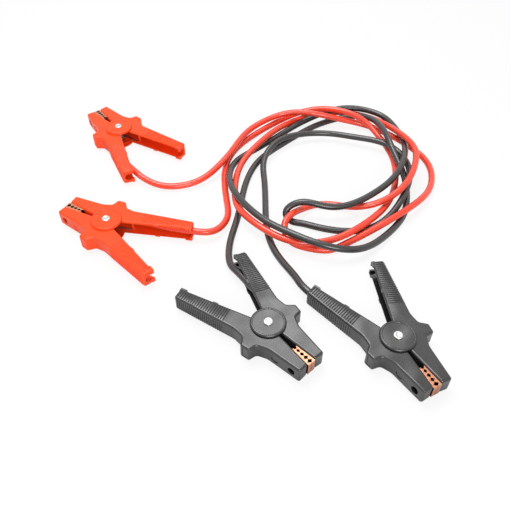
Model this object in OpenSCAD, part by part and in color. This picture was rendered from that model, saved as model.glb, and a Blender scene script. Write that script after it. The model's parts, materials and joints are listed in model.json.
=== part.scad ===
// Jump leads: a red cable and a black cable, each with a spring clamp riveted on both ends.
// Millimetres, +Z up. Every clamp lies on its lower pivot disc at z = 0, with its hinge upright.
// A clamp has its own frame: the pivot is the origin, +X runs to the jaws and +Y to one arm.
// Both arms of a clamp are the same moulding, one turned over about the clamp's X axis.

/* [Clamp arms] */
// Distance from the pivot to the end of a handle, along the clamp
handle_reach = 97; // [93:1:100]
// Distance from the pivot to the tip of the plastic jaw
jaw_reach = 62; // [60:0.5:64]
// Height of a moulded arm, without the pivot discs
arm_h = 19.5; // [18:0.5:21]
// Wall thickness of the hollow moulding
wall = 2.3; // [2:0.1:2.6]
// Angle between the inner edge of a handle and the clamp's centre line
handle_angle = 21.3; // [20:0.1:23]
// Width of a handle at its end
handle_end_w = 13.3; // [12:0.1:14]
// Diameter of the cable mouth in a handle's end wall
mouth_d = 9.8; // [9.6:0.1:10]
// Rounding of the long upper and lower edges
edge_r = 1.8; // [1:0.1:2]
// Number of grip ribs across each face of a handle
ribs = 22; // [18:1:24]
// Distance from one grip rib to the next
rib_pitch = 2.75; // [2.4:0.05:3]
// Height of a grip rib
rib_h = 0.5; // [0.3:0.1:0.6]

/* [Pivot] */
// Diameter of the pivot discs
disc_d = 37.5; // [36:0.5:38]
// Thickness of a pivot disc at its rim
disc_t = 3; // [2.8:0.1:3.2]
// Diameter of the ear that turns under the other arm's disc
ear_d = 30; // [28:0.5:31]
// Diameter of the pivot rivet's shank
rivet_d = 6; // [5:0.5:7]
// Diameter of the pivot rivet's heads
rivet_head_d = 9.8; // [9:0.1:11]
// Clearance between parts that turn on each other
turn_gap = 0.2; // [0.1:0.05:0.25]

/* [Spring] */
// Diameter of the spring wire
wire_d = 1.8; // [1.4:0.1:2]
// Diameter of the coil, between wire centres
coil_d = 13; // [12:0.5:14]
// Whole turns of the coil, besides the part turn that brings the legs apart
coil_turns = 4; // [3:1:4]

/* [Copper jaws] */
// Thickness of the pressed copper sheet
copper_t = 1; // [0.8:0.1:1.2]
// Height of the pressed copper tray
tray_h = 16; // [15:0.5:16]
// Distance from one tooth to the next
tooth_pitch = 5.3; // [5:0.1:5.4]
// Height of the metal left between a notch and the tray's back
notch_floor = 1.3; // [1.1:0.1:1.6]
// Number of notches cut in each flange of the tray
notches = 4; // [3:1:4]
// Gap between the teeth of the closed jaws
bite_gap = 0.3; // [0.2:0.1:0.6]
// Diameter of the access hole in the outer side of a jaw
hole_d = 8.5; // [7:0.5:9]
// Diameter of the round recess in the outer side of a jaw
mark_d = 9; // [8:0.5:10]

/* [Cables] */
// Outer diameter of a cable
cable_d = 8.4; // [8:0.1:8.4]

/* [Places of the clamps] */
// First red clamp: X and Y of its pivot, and the heading of its jaws
red_a_at = [-164, 185, 130.5];
// Second red clamp
red_b_at = [-147, -10, 150.5];
// First black clamp
black_a_at = [45, -164, -48];
// Second black clamp
black_b_at = [174, -181, -62.5];

/* [Hidden] */

red_plastic = [0.95, 0.25, 0.13];
black_plastic = [0.22, 0.22, 0.21];
red_sheath = [0.9, 0.2, 0.1];
black_sheath = [0.16, 0.15, 0.14];
copper = [0.85, 0.55, 0.4];
steel = [0.8, 0.8, 0.8];

fine = 64;
eps = 0.01;
// How far a disc or an ear is sunk into the arm that carries it
bond = 0.05;

// Heights in a clamp
arm_z = disc_t;
arm_top = arm_z + arm_h;
clamp_h = arm_top + disc_t;
mid_z = clamp_h / 2;
ear_t = wall - turn_gap - 2 * bond;

// Turning an arm over swaps the two discs and the two sides of the clamp.
module turned_over() {
    translate([0, 0, clamp_h]) rotate([180, 0, 0]) children();
}

// side = 1 is the arm that carries the upper disc, side = -1 the one with the lower disc.
module on_side(side) {
    if (side > 0) children();
    else turned_over() children();
}

function unit(v) = v / norm(v);
function xy(p) = [p[0], p[1]];
function left_of(v) = [-v[1], v[0]];

// An outline whose corners are given as [x, y, radius], with every corner turned into chords
function rounded(corners, steps) = let (n = len(corners)) [
    for (i = [0 : n - 1])
        let (
            p = xy(corners[i]),
            r = corners[i][2],
            back = unit(xy(corners[(i + n - 1) % n]) - p),
            on = unit(xy(corners[(i + 1) % n]) - p),
            half = acos(back * on) / 2,
            centre = p + unit(back + on) * r / sin(half),
            first = unit(p + back * r / tan(half) - centre),
            last = unit(p + on * r / tan(half) - centre),
            sweep = 180 - 2 * half
        )
        for (k = [0 : steps])
            centre + r * (sin(sweep * (1 - k / steps)) * first + sin(sweep * k / steps) * last) / sin(sweep)
];

// The same outline moved inwards by d, for corners that run anticlockwise
function inset(outline, d) = let (n = len(outline)) [
    for (i = [0 : n - 1])
        let (
            before = left_of(unit(outline[i] - outline[(i + n - 1) % n])),
            after = left_of(unit(outline[(i + 1) % n] - outline[i]))
        )
        outline[i] + d * (before + after) / (1 + before * after)
];

// A prism of an outline, with quarter-round upper and lower edges. Its flat faces are fans
// round the point hub, from which the whole outline is in view.
module rounded_prism(outline, z0, z1, r, hub) {
    steps = 2;
    n = len(outline);
    lower = [for (k = [0 : steps]) [r * (1 - sin(90 * k / steps)), z0 + r * (1 - cos(90 * k / steps))]];
    upper = [for (k = [steps : -1 : 0]) [lower[k][0], z0 + z1 - lower[k][1]]];
    levels = concat(lower, upper);
    rings = [for (level = levels) [for (p = inset(outline, level[0])) [p[0], p[1], level[1]]]];
    sides = [
        for (j = [0 : len(levels) - 2], i = [0 : n - 1])
            let (a = j * n + i, b = j * n + (i + 1) % n)
            each [[a, a + n, b], [b, a + n, b + n]]
    ];
    m = len(levels) * n;
    bottom = [for (i = [0 : n - 1]) [m, i, (i + 1) % n]];
    top = [for (i = [0 : n - 1]) [m + 1, m - n + (i + 1) % n, m - n + i]];
    polyhedron(
        [for (ring = rings) each ring, [hub[0], hub[1], z0], [hub[0], hub[1], z1]],
        concat(bottom, sides, top), convexity = 6
    );
}

// Corners of one arm, anticlockwise from the inner corner of its jaw tip
handle_dir = [-cos(handle_angle), sin(handle_angle)];
end_dir = unit([0.36, 1]);
handle_in = handle_dir * handle_reach / cos(handle_angle);
handle_out = handle_in + end_dir * handle_end_w;
jaw_slope = 0.08;
function jaw_face(x) = 1.2 + jaw_slope * (x - 17);
arm_corners = [
    [jaw_reach - 0.8, jaw_face(jaw_reach - 0.8), 2.6],
    [jaw_reach + 0.4, 16.6, 2.6],
    [23, 21.8, 14],
    [12.4, 27, 5],
    [11.3, 36.7, 2.6],
    [0.8, 38.6, 2.6],
    [-6, 30.8, 5],
    [-18, 30.4, 16],
    [handle_out[0], handle_out[1], 2.6],
    [handle_in[0], handle_in[1], 2.6],
    [-16.8, 6.6, 4],
    [17, 1.2, 6]
];
arm_outline = rounded(arm_corners, 4);

// Corners of an outline whose sides are moved inwards, each by its own depth
function moved_sides(corners, depths) = let (n = len(corners)) [
    for (i = [0 : n - 1])
        let (
            p = xy(corners[i]),
            a = unit(p - xy(corners[(i + n - 1) % n])),
            b = unit(xy(corners[(i + 1) % n]) - p),
            da = depths[(i + n - 1) % n],
            db = depths[i]
        )
        p + (b * da - a * db) / (a[0] * b[1] - a[1] * b[0])
];

// The inside of an arm. The handle is an open channel on the side that faces the other handle.
open_by = -4;
inside_depths = [wall, wall, wall, wall, wall, wall, wall, wall, wall, open_by, open_by, wall];
arm_inside = moved_sides(arm_corners, inside_depths);

// Cable mouth through the end wall, broken open towards the other handle
mouth_at = handle_in + end_dir * handle_end_w * 0.45;
mouth_turn = atan2(end_dir[1], end_dir[0]) - 90;
module cable_mouth() {
    translate([mouth_at[0], mouth_at[1], mid_z]) rotate([0, 0, mouth_turn]) {
        rotate([0, 90, 0]) cylinder(d = mouth_d, h = 3 * wall, center = true, $fn = fine);
        translate([0, -handle_end_w / 2, 0]) cube([3 * wall, handle_end_w, 5.4], center = true);
    }
}

// Grip ribs across the upper and lower face of a handle, counted from its end
first_rib = 3;
rib_w = 1.8;
rib_edge = edge_r + 0.3;
rib_area = moved_sides([[-18, 30.4], handle_out, handle_in, [-16.8, 6.6]], [rib_edge, rib_edge, rib_edge, 0]);
module grip_ribs() {
    intersection() {
        translate([0, 0, arm_z - rib_h]) linear_extrude(arm_h + 2 * rib_h) polygon(rib_area);
        translate([handle_in[0], handle_in[1], mid_z])
            rotate([90, 0, -handle_angle])
                for (i = [0 : ribs - 1], face = [-1, 1])
                    translate([first_rib + rib_pitch * i, face * arm_h / 2, -25])
                        linear_extrude(30)
                            polygon([
                                [-rib_w / 2, -face * 0.3], [rib_w / 2, -face * 0.3], [rib_w / 2, 0],
                                [0, face * rib_h], [-rib_w / 2, 0]
                            ]);
    }
}

// Lip on the inner edge of both channel walls at the handle's end, and a small tab before it
lip_len = 9;
lip_w = 2;
tab_from = 40;
module inner_lips() {
    translate([handle_in[0], handle_in[1], arm_z + 0.5])
        rotate([0, 0, -handle_angle]) linear_extrude(arm_h - 1) {
            polygon([
                [0, 3], [0, -lip_w + 0.6], [0.6, -lip_w], [lip_len - 1.6, -lip_w], [lip_len, 0], [lip_len, 3]
            ]);
            polygon([
                [tab_from, 3], [tab_from, 0], [tab_from + 0.8, -0.9], [tab_from + 5.2, -0.9],
                [tab_from + 6, 0], [tab_from + 6, 3]
            ]);
        }
}

// Recessed panel on the lobe's end, above the ear
panel_at = (arm_corners[4] + arm_corners[5]) / 2;
panel_turn = atan2(arm_corners[5][1] - arm_corners[4][1], arm_corners[5][0] - arm_corners[4][0]);
module lobe_panel() {
    translate([panel_at[0], panel_at[1], mid_z]) rotate([0, 0, panel_turn])
        cube([5.6, 1, arm_h - 2 * edge_r - 1.5], center = true);
}

// Side hole, round recess and rivet hole of a jaw
hole_x = 52;
mark_x = 32;
rivet_x = 52;
jaw_rivet_d = 3.2;
jaw_turn = atan(jaw_slope);
outer_face_turn = atan2(16.6 - 21.8, jaw_reach + 0.4 - 23);
function outer_face(x) = 21.8 + tan(outer_face_turn) * (x - 23);
module jaw_holes() {
    translate([hole_x, outer_face(hole_x), mid_z])
        rotate([90, 0, outer_face_turn])
            cylinder(d = hole_d, h = 4 * wall, center = true, $fn = fine);
    translate([mark_x, outer_face(mark_x), mid_z])
        rotate([90, 0, outer_face_turn])
            cylinder(d = mark_d, h = 1.2, center = true, $fn = fine);
    at_jaw_rivet() cylinder(d = jaw_rivet_d + 0.1, h = 12, center = true, $fn = fine);
}

// Z runs along the jaw rivet from here, outwards through the jaw's inner wall.
module at_jaw_rivet() {
    translate([rivet_x, jaw_face(rivet_x), mid_z]) rotate([-90, 0, jaw_turn]) children();
}

post_at = [-24, 18];
post_d = 4.4;
running_d = ear_d + 0.6;
disc_room = disc_d + 0.6;

module pivot_disc() {
    r = disc_d / 2;
    t = disc_t + bond;
    rotate_extrude($fn = 96)
        polygon([
            [0, 0], [r, 0], [r, 1.3], [r - 0.25, 2], [r - 0.8, 2.6], [r - 1.75, t],
            [r - 2.4, t], [r - 2.9, t - 0.6], [0, t - 0.6]
        ]);
}

// One moulding: hollow arm, upper pivot disc and lower ear
module arm() {
    difference() {
        union() {
            difference() {
                union() {
                    rounded_prism(arm_outline, arm_z, arm_top, edge_r, [2, 12]);
                    grip_ribs();
                    inner_lips();
                }
                translate([0, 0, arm_z + wall]) linear_extrude(arm_h - 2 * wall) polygon(arm_inside);
                translate([0, 0, arm_z + wall])
                    cylinder(d = running_d, h = arm_h - wall + eps, $fn = 96);
                translate([0, 0, arm_z - 1]) cylinder(d = disc_room, h = 1 + turn_gap, $fn = 96);
                cable_mouth();
                jaw_holes();
                lobe_panel();
            }
            translate([0, 0, arm_z + turn_gap + bond]) cylinder(d = ear_d, h = ear_t, $fn = 96);
            translate([0, 0, arm_top - bond]) pivot_disc();
            translate([post_at[0], post_at[1], arm_z + wall - 0.5])
                cylinder(d = post_d, h = arm_h - 2 * wall + 1, $fn = fine);
        }
        translate([0, 0, -1]) cylinder(d = rivet_d + 0.1, h = clamp_h + 2, $fn = fine);
    }
}

// Pivot rivet: domed head above, set end below, both in the dished discs
module pivot_rivet() {
    r = rivet_head_d / 2;
    low = 0.6;
    high = clamp_h - 0.6;
    color(steel) rotate_extrude($fn = 96)
        polygon([
            [0, 0.1], [r - 0.4, 0.1], [r, low - 0.05], [rivet_d / 2, low - 0.05],
            [rivet_d / 2, high + 0.05], [r, high + 0.05], [r, high + 0.8], [r - 0.6, high + 1.5],
            [r - 1.4, high + 1.7], [r - 2.2, high + 1.5], [r - 2.6, high + 1.1], [0, high + 1]
        ]);
}

// Copper tray, pressed from sheet: back on the plastic, toothed flanges, closed front
tray_z = mid_z - tray_h / 2;
tray_back_x = 38;
flange_x = 39.3;
first_tooth_x = 40.3;
tooth_tip = 0.5;
tray_tip_x = jaw_reach;
module jaw_strip(x0, x1, from, to) {
    polygon([
        [x0, jaw_face(x0) - from], [x1, jaw_face(x1) - from],
        [x1, jaw_face(x1) - to], [x0, jaw_face(x0) - to]
    ]);
}
module toothed_flange() {
    bite = bite_gap / 2;
    difference() {
        polygon([
            [flange_x, jaw_face(flange_x) - 0.5], [first_tooth_x, bite], [tray_tip_x, bite],
            [tray_tip_x, jaw_face(tray_tip_x) - 0.5]
        ]);
        for (i = [0 : notches - 1])
            let (from = first_tooth_x + i * tooth_pitch + tooth_tip, to = from + tooth_pitch - tooth_tip)
            polygon([[from, bite - eps], [(from + to) / 2, jaw_face(from) - notch_floor], [to, bite - eps]]);
    }
}
module jaw_plate() {
    difference() {
        union() {
            translate([0, 0, tray_z]) linear_extrude(tray_h)
                jaw_strip(tray_back_x, tray_tip_x, 0.05 + copper_t, 0.05);
            for (z = [tray_z, tray_z + tray_h - copper_t])
                translate([0, 0, z]) linear_extrude(copper_t) toothed_flange();
            translate([tray_tip_x - copper_t, bite_gap / 2, tray_z])
                cube([copper_t, jaw_face(tray_tip_x) - bite_gap / 2 - 0.3, tray_h]);
        }
        at_jaw_rivet() cylinder(d = jaw_rivet_d + 0.1, h = 12, center = true, $fn = fine);
    }
}

// Rivet that holds the copper tray, and the lug of the cable where there is one
lug_t = 1.6;
jaw_head_d = 6.4;
module jaw_rivet(grip) {
    inner = -0.05 - copper_t;
    color(steel) at_jaw_rivet() {
        translate([0, 0, inner - 0.8]) cylinder(d = jaw_head_d, h = 0.8, $fn = fine);
        translate([0, 0, inner - eps]) cylinder(d = jaw_rivet_d, h = grip - inner + 2 * eps, $fn = fine);
        translate([0, 0, grip]) cylinder(d = jaw_head_d, h = 1, $fn = fine);
    }
}

// Copper lug: a crimped barrel on the cable and a flat tongue behind the jaw's inner wall
barrel_x = 18;
barrel_len = 15;
barrel_y = 12;
tongue_x = 45;
module cable_lug() {
    back = wall + 0.05;
    color(copper) difference() {
        union() {
            translate([barrel_x, barrel_y, mid_z]) rotate([0, 90, 0])
                cylinder(d = cable_d + 2, h = barrel_len, $fn = fine);
            translate([0, 0, mid_z - 4]) linear_extrude(8) {
                polygon([
                    [barrel_x + barrel_len - 2, barrel_y - 1.5], [tongue_x, jaw_face(tongue_x) + back],
                    [tongue_x, jaw_face(tongue_x) + back + lug_t], [barrel_x + barrel_len - 2, barrel_y + 1.5]
                ]);
                jaw_strip(tongue_x - eps, 57, -back, -back - lug_t);
            }
        }
        translate([barrel_x - 1, barrel_y, mid_z]) rotate([0, 90, 0])
            cylinder(d = cable_d + 0.1, h = 10, $fn = fine);
        at_jaw_rivet() cylinder(d = jaw_rivet_d + 0.1, h = 30, center = true, $fn = fine);
    }
}

// A tube swept along a path that never stands upright, as one polyhedron of triangles
function ring(p, dir, r, n) = let (across = unit(cross(dir, [0, 0, 1])), up = cross(across, dir)) [
    for (k = [0 : n - 1]) p + r * (cos(360 * (k + 0.5) / n) * across + sin(360 * (k + 0.5) / n) * up)
];
module tube(path, dirs, d, n) {
    m = len(path);
    points = [for (i = [0 : m - 1]) each ring(path[i], unit(dirs[i]), d / 2, n)];
    sides = [
        for (i = [0 : m - 2], k = [0 : n - 1])
            let (a = i * n + k, b = i * n + (k + 1) % n)
            each [[a, b, a + n], [b, b + n, a + n]]
    ];
    near_end = [for (k = [1 : n - 2]) [0, k + 1, k]];
    far_end = [for (k = [1 : n - 2]) [(m - 1) * n, (m - 1) * n + k, (m - 1) * n + k + 1]];
    polyhedron(points, concat(near_end, sides, far_end), convexity = 10);
}

// Torsion spring: lower leg, coil and upper leg in one tube. The legs lie in the two channels.
coil_low = arm_z + wall + wire_d / 2 + 0.2;
coil_high = arm_top - wall - wire_d / 2 - 0.2;
leg_angle = 72;
leg_len = 27;
curl_rings = 8;
coil_sweep = 360 * coil_turns + 2 * leg_angle;
coil_steps = ceil(coil_sweep / 360 * curl_rings);
function coil_point(t) = let (a = t * coil_sweep - leg_angle)
    [coil_d / 2 * cos(a), coil_d / 2 * sin(a), coil_low + t * (coil_high - coil_low)];
function coil_dir(t) = let (a = t * coil_sweep - leg_angle, rise = (coil_high - coil_low) / coil_sweep * 180 / PI)
    unit([-sin(a) * coil_d / 2, cos(a) * coil_d / 2, rise]);
function leg_dir(side) = [-sin(leg_angle), side * cos(leg_angle), 0];
module clamp_spring() {
    coil = [for (i = [0 : coil_steps]) coil_point(i / coil_steps)];
    turns = [for (i = [0 : coil_steps]) coil_dir(i / coil_steps)];
    low_leg = coil[0] + leg_len * leg_dir(-1);
    high_leg = coil[coil_steps] + leg_len * leg_dir(1);
    color(steel) tube(
        concat([low_leg], coil, [high_leg]),
        concat([-leg_dir(-1)], turns, [leg_dir(1)]),
        wire_d, 6
    );
}

// A smooth route: a uniform cubic B-spline that starts and ends on its end points
function with_ghosts(p) = let (n = len(p)) concat([2 * p[0] - p[1]], p, [2 * p[n - 1] - p[n - 2]]);
function blend4(g, i, w) = w[0] * g[i] + w[1] * g[i + 1] + w[2] * g[i + 2] + w[3] * g[i + 3];
function route_point(p, t) = let (i = min(floor(t), len(p) - 2), f = t - i)
    blend4(with_ghosts(p), i, [(1 - f) ^ 3, 3 * f ^ 3 - 6 * f ^ 2 + 4, 3 * f + 3 * f ^ 2 - 3 * f ^ 3 + 1, f ^ 3] / 6);
function route_dir(p, t) = let (i = min(floor(t), len(p) - 2), f = t - i)
    unit(blend4(with_ghosts(p), i, [-(1 - f) ^ 2, 3 * f ^ 2 - 4 * f, 1 + 2 * f - 3 * f ^ 2, f ^ 2] / 2));
module cable(route, from, to, per_point, n) {
    steps = (to - from) * per_point;
    times = [for (i = [0 : steps]) from + (to - from) * i / steps];
    tube([for (t = times) route_point(route, t)], [for (t = times) route_dir(route, t)], cable_d, n);
}

// Where each clamp lies: its place, the side of its cable arm, and its cable's way out.
// The way out runs from the lug's barrel through the cable arm's handle. The last two
// points give the heading in which the free cable goes on.
inside = [[20, 12], [13, 12], [4, 16.5], [-8, 22], [-24, 25]];
RED_A = 0;
RED_B = 1;
BLACK_A = 2;
BLACK_B = 3;
place = [red_a_at, red_b_at, black_a_at, black_b_at];
cable_side = [1, -1, 1, -1];
way_out = [
    concat(inside, [[-45, 28], [-63, 30.8], [-78, 30.8]]),
    concat(inside, [[-45, 30], [-65, 34], [-84, 39.6], [-97.5, 44.6]]),
    concat(inside, [[-38, 25.2], [-52, 25.4], [-68, 27.2]]),
    concat(inside, [[-45, 30], [-65, 35.5], [-82.5, 40.8], [-97.5, 43.6]])
];
handle_steps = 2;

function in_clamp(c, p) = let (side = cable_side[c], a = place[c][2])
    [
        place[c][0] + cos(a) * p[0] - sin(a) * side * p[1],
        place[c][1] + sin(a) * p[0] + cos(a) * side * p[1],
        mid_z
    ];
// The first two points of the free cable at a clamp
function lead_out(c) = let (w = way_out[c], n = len(w))
    [in_clamp(c, w[n - 1]), in_clamp(c, 2 * w[n - 1] - w[n - 2])];
function reversed(list) = [for (i = [len(list) - 1 : -1 : 0]) list[i]];

module in_place(c) {
    translate([place[c][0], place[c][1], 0]) rotate([0, 0, place[c][2]]) children();
}
module clamp_arm(c, cable_arm, colour) {
    color(colour) in_place(c) on_side(cable_arm ? cable_side[c] : -cable_side[c]) arm();
}
module clamp_jaw(c, cable_arm) {
    color(copper) in_place(c) on_side(cable_arm ? cable_side[c] : -cable_side[c]) jaw_plate();
}
module clamp_jaw_rivet(c, cable_arm) {
    grip = wall + 0.1 + (cable_arm ? lug_t : 0);
    in_place(c) on_side(cable_arm ? cable_side[c] : -cable_side[c]) jaw_rivet(grip);
}
module clamp_lug(c) {
    in_place(c) on_side(cable_side[c]) cable_lug();
}
module clamp_lead_end(c, colour) {
    route = [for (p = way_out[c]) in_clamp(c, p)];
    color(colour) cable(route, 0, len(route) - 1, handle_steps, 8);
}

// Routes of the two leads, from clamp a to clamp b. The first and last stretches run to the
// loops, and the loops between them lie over and under each other up to three deep.
red_route = concat(lead_out(RED_A), [
    [-114, 83, 9], [-85, 70, 5], [-40, 80, 7], [-15, 110, 15], [0, 140, 15], [15, 185, 13],
    [40, 215, 13], [80, 230, 22], [120, 220, 25], [165, 220, 12], [200, 220, 4.5], [235, 190, 4.5],
    [265, 150, 4.5], [275, 115, 4.5], [265, 70, 6], [240, 35, 13], [205, 5, 15], [165, -20, 9],
    [135, -35, 4.5], [120, -45, 4.5], [95, -40, 4.5], [70, -30, 4.5], [65, -5, 12], [75, 5, 19],
    [90, 30, 5], [120, 45, 4.5], [160, 25, 8], [200, 30, 20], [230, 60, 25], [250, 110, 24],
    [250, 135, 29], [235, 175, 23], [220, 225, 8], [180, 255, 4.5], [135, 255, 4.5], [95, 235, 4.5],
    [60, 195, 13], [35, 155, 15], [15, 125, 12], [5, 95, 4.5], [5, 50, 8], [10, 15, 17],
    [40, -20, 17], [80, -45, 14], [125, -35, 12], [155, -20, 18], [195, 25, 7], [215, 65, 4.5],
    [225, 110, 4.5], [225, 150, 4.5], [210, 190, 8], [190, 215, 21], [150, 230, 27], [110, 245, 16],
    [70, 230, 7], [35, 200, 4.5], [5, 165, 4.5], [-10, 125, 4.5], [-10, 85, 4.5], [-5, 45, 4.5],
    [0, 15, 5], [-12, -14, 10]
], reversed(lead_out(RED_B)));
black_route = concat(lead_out(BLACK_A), [
    [1, -70, 9], [0, -30, 4.5], [10, 10, 4.5], [15, 55, 4.5], [20, 90, 4.5], [35, 135, 4.5],
    [70, 170, 4.5], [100, 200, 4.5], [130, 225, 4.5], [175, 245, 4.5], [205, 225, 16], [215, 175, 28],
    [220, 135, 22], [235, 100, 5], [230, 55, 4.5], [220, 15, 4.5], [190, -20, 4.5], [155, -55, 13],
    [110, -55, 23], [75, -35, 24], [40, -10, 22], [10, 30, 23], [-5, 75, 15], [0, 130, 4.5],
    [30, 155, 4.5], [65, 190, 4.5], [95, 220, 6], [130, 240, 11], [170, 255, 16], [220, 240, 13],
    [235, 210, 13], [245, 165, 13], [235, 115, 26], [215, 70, 23], [180, 40, 20], [150, 20, 19],
    [120, 15, 19], [90, 25, 27], [65, 20, 12], [75, 5, 4.5], [90, 5, 4.5], [110, -5, 4.5],
    [155, -15, 4.5], [195, 5, 4.5], [220, 40, 14], [240, 85, 16], [240, 135, 10], [215, 160, 17],
    [175, 175, 13], [140, 190, 11], [95, 185, 13], [60, 165, 16], [40, 125, 10], [45, 90, 4.5],
    [45, 35, 4.5], [45, -10, 4.5], [55, -50, 4.5], [77, -86, 8]
], reversed(lead_out(BLACK_B)));

// Points of a route between which its loops lie
red_loops = [7, 59];
black_loops = [7, 54];
loop_steps = 2;
tail_steps = 2;

// Least gap between the stretches of the loops, on points of their centre lines
gap_step = 0.25;
function stretch(route, span) = [for (t = [span[0] : gap_step : span[1]]) route_point(route, t)];
function least(list) = min([for (v = list) v]);
apart = 8;
function self_gap(p) = least([
    for (i = [0 : len(p) - 1 - apart], j = [i + apart : len(p) - 1]) norm(p[i] - p[j])
]) - cable_d;
function gap_between(p, q) = least([for (a = p, b = q) norm(a - b)]) - cable_d;
function route_length(route) = let (p = stretch(route, [0, len(route) - 1]))
    sum_of([for (i = [1 : len(p) - 1]) norm(p[i] - p[i - 1])]);
function sum_of(list) = list * [for (v = list) 1];
union() {
    echo(red_loops_gap = self_gap(stretch(red_route, red_loops)));
    echo(black_loops_gap = self_gap(stretch(black_route, black_loops)));
    echo(red_to_black_gap = gap_between(
        stretch(red_route, [0, len(red_route) - 1]),
        stretch(black_route, [0, len(black_route) - 1])
    ));
    echo(red_length = route_length(red_route), black_length = route_length(black_route));
    echo(spring_gap = (coil_high - coil_low) / coil_sweep * 360 - wire_d);
}

module red_clamp_a_cable_arm() { clamp_arm(RED_A, true, red_plastic); }
module red_clamp_a_free_arm() { clamp_arm(RED_A, false, red_plastic); }
module red_clamp_b_cable_arm() { clamp_arm(RED_B, true, red_plastic); }
module red_clamp_b_free_arm() { clamp_arm(RED_B, false, red_plastic); }
module black_clamp_a_cable_arm() { clamp_arm(BLACK_A, true, black_plastic); }
module black_clamp_a_free_arm() { clamp_arm(BLACK_A, false, black_plastic); }
module black_clamp_b_cable_arm() { clamp_arm(BLACK_B, true, black_plastic); }
module black_clamp_b_free_arm() { clamp_arm(BLACK_B, false, black_plastic); }

module red_lead_tail_a() { color(red_sheath) cable(red_route, 0, red_loops[0], tail_steps, 8); }
module red_lead_loops() { color(red_sheath) cable(red_route, red_loops[0], red_loops[1], loop_steps, 6); }
module red_lead_tail_b() { color(red_sheath) cable(red_route, red_loops[1], len(red_route) - 1, tail_steps, 8); }
module black_lead_tail_a() { color(black_sheath) cable(black_route, 0, black_loops[0], tail_steps, 8); }
module black_lead_loops() { color(black_sheath) cable(black_route, black_loops[0], black_loops[1], loop_steps, 6); }
module black_lead_tail_b() {
    color(black_sheath) cable(black_route, black_loops[1], len(black_route) - 1, tail_steps, 8);
}

red_clamp_a_cable_arm();
red_clamp_a_free_arm();
in_place(RED_A) pivot_rivet();  // red_clamp_a_pivot_rivet
in_place(RED_A) clamp_spring();  // red_clamp_a_spring
clamp_jaw(RED_A, true);  // red_clamp_a_cable_jaw
clamp_jaw(RED_A, false);  // red_clamp_a_free_jaw
clamp_jaw_rivet(RED_A, true);  // red_clamp_a_cable_jaw_rivet
clamp_jaw_rivet(RED_A, false);  // red_clamp_a_free_jaw_rivet
clamp_lug(RED_A);  // red_clamp_a_cable_lug
clamp_lead_end(RED_A, red_sheath);  // red_clamp_a_lead_end
red_clamp_b_cable_arm();
red_clamp_b_free_arm();
in_place(RED_B) pivot_rivet();  // red_clamp_b_pivot_rivet
in_place(RED_B) clamp_spring();  // red_clamp_b_spring
clamp_jaw(RED_B, true);  // red_clamp_b_cable_jaw
clamp_jaw(RED_B, false);  // red_clamp_b_free_jaw
clamp_jaw_rivet(RED_B, true);  // red_clamp_b_cable_jaw_rivet
clamp_jaw_rivet(RED_B, false);  // red_clamp_b_free_jaw_rivet
clamp_lug(RED_B);  // red_clamp_b_cable_lug
clamp_lead_end(RED_B, red_sheath);  // red_clamp_b_lead_end
black_clamp_a_cable_arm();
black_clamp_a_free_arm();
in_place(BLACK_A) pivot_rivet();  // black_clamp_a_pivot_rivet
in_place(BLACK_A) clamp_spring();  // black_clamp_a_spring
clamp_jaw(BLACK_A, true);  // black_clamp_a_cable_jaw
clamp_jaw(BLACK_A, false);  // black_clamp_a_free_jaw
clamp_jaw_rivet(BLACK_A, true);  // black_clamp_a_cable_jaw_rivet
clamp_jaw_rivet(BLACK_A, false);  // black_clamp_a_free_jaw_rivet
clamp_lug(BLACK_A);  // black_clamp_a_cable_lug
clamp_lead_end(BLACK_A, black_sheath);  // black_clamp_a_lead_end
black_clamp_b_cable_arm();
black_clamp_b_free_arm();
in_place(BLACK_B) pivot_rivet();  // black_clamp_b_pivot_rivet
in_place(BLACK_B) clamp_spring();  // black_clamp_b_spring
clamp_jaw(BLACK_B, true);  // black_clamp_b_cable_jaw
clamp_jaw(BLACK_B, false);  // black_clamp_b_free_jaw
clamp_jaw_rivet(BLACK_B, true);  // black_clamp_b_cable_jaw_rivet
clamp_jaw_rivet(BLACK_B, false);  // black_clamp_b_free_jaw_rivet
clamp_lug(BLACK_B);  // black_clamp_b_cable_lug
clamp_lead_end(BLACK_B, black_sheath);  // black_clamp_b_lead_end
red_lead_tail_a();
red_lead_loops();
red_lead_tail_b();
black_lead_tail_a();
black_lead_loops();
black_lead_tail_b();
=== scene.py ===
"""Jump leads: a red and a black cable lying tangled, with a moulded spring clamp on each end.

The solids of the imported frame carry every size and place. This script gives them their looks:
moulded arms with grip ribs, springs, smooth cables and the finishes of plastic, copper and steel.
"""

from __future__ import annotations

import json
import logging
import math
from dataclasses import dataclass, field
from enum import Enum
from functools import cached_property
from typing import Any, Callable, Iterable, Sequence

import bpy
import numpy as np
from bpy.types import Material, Mesh, Node, NodeSocket, NodeTree, Object
from mathutils import Matrix, Vector

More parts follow.
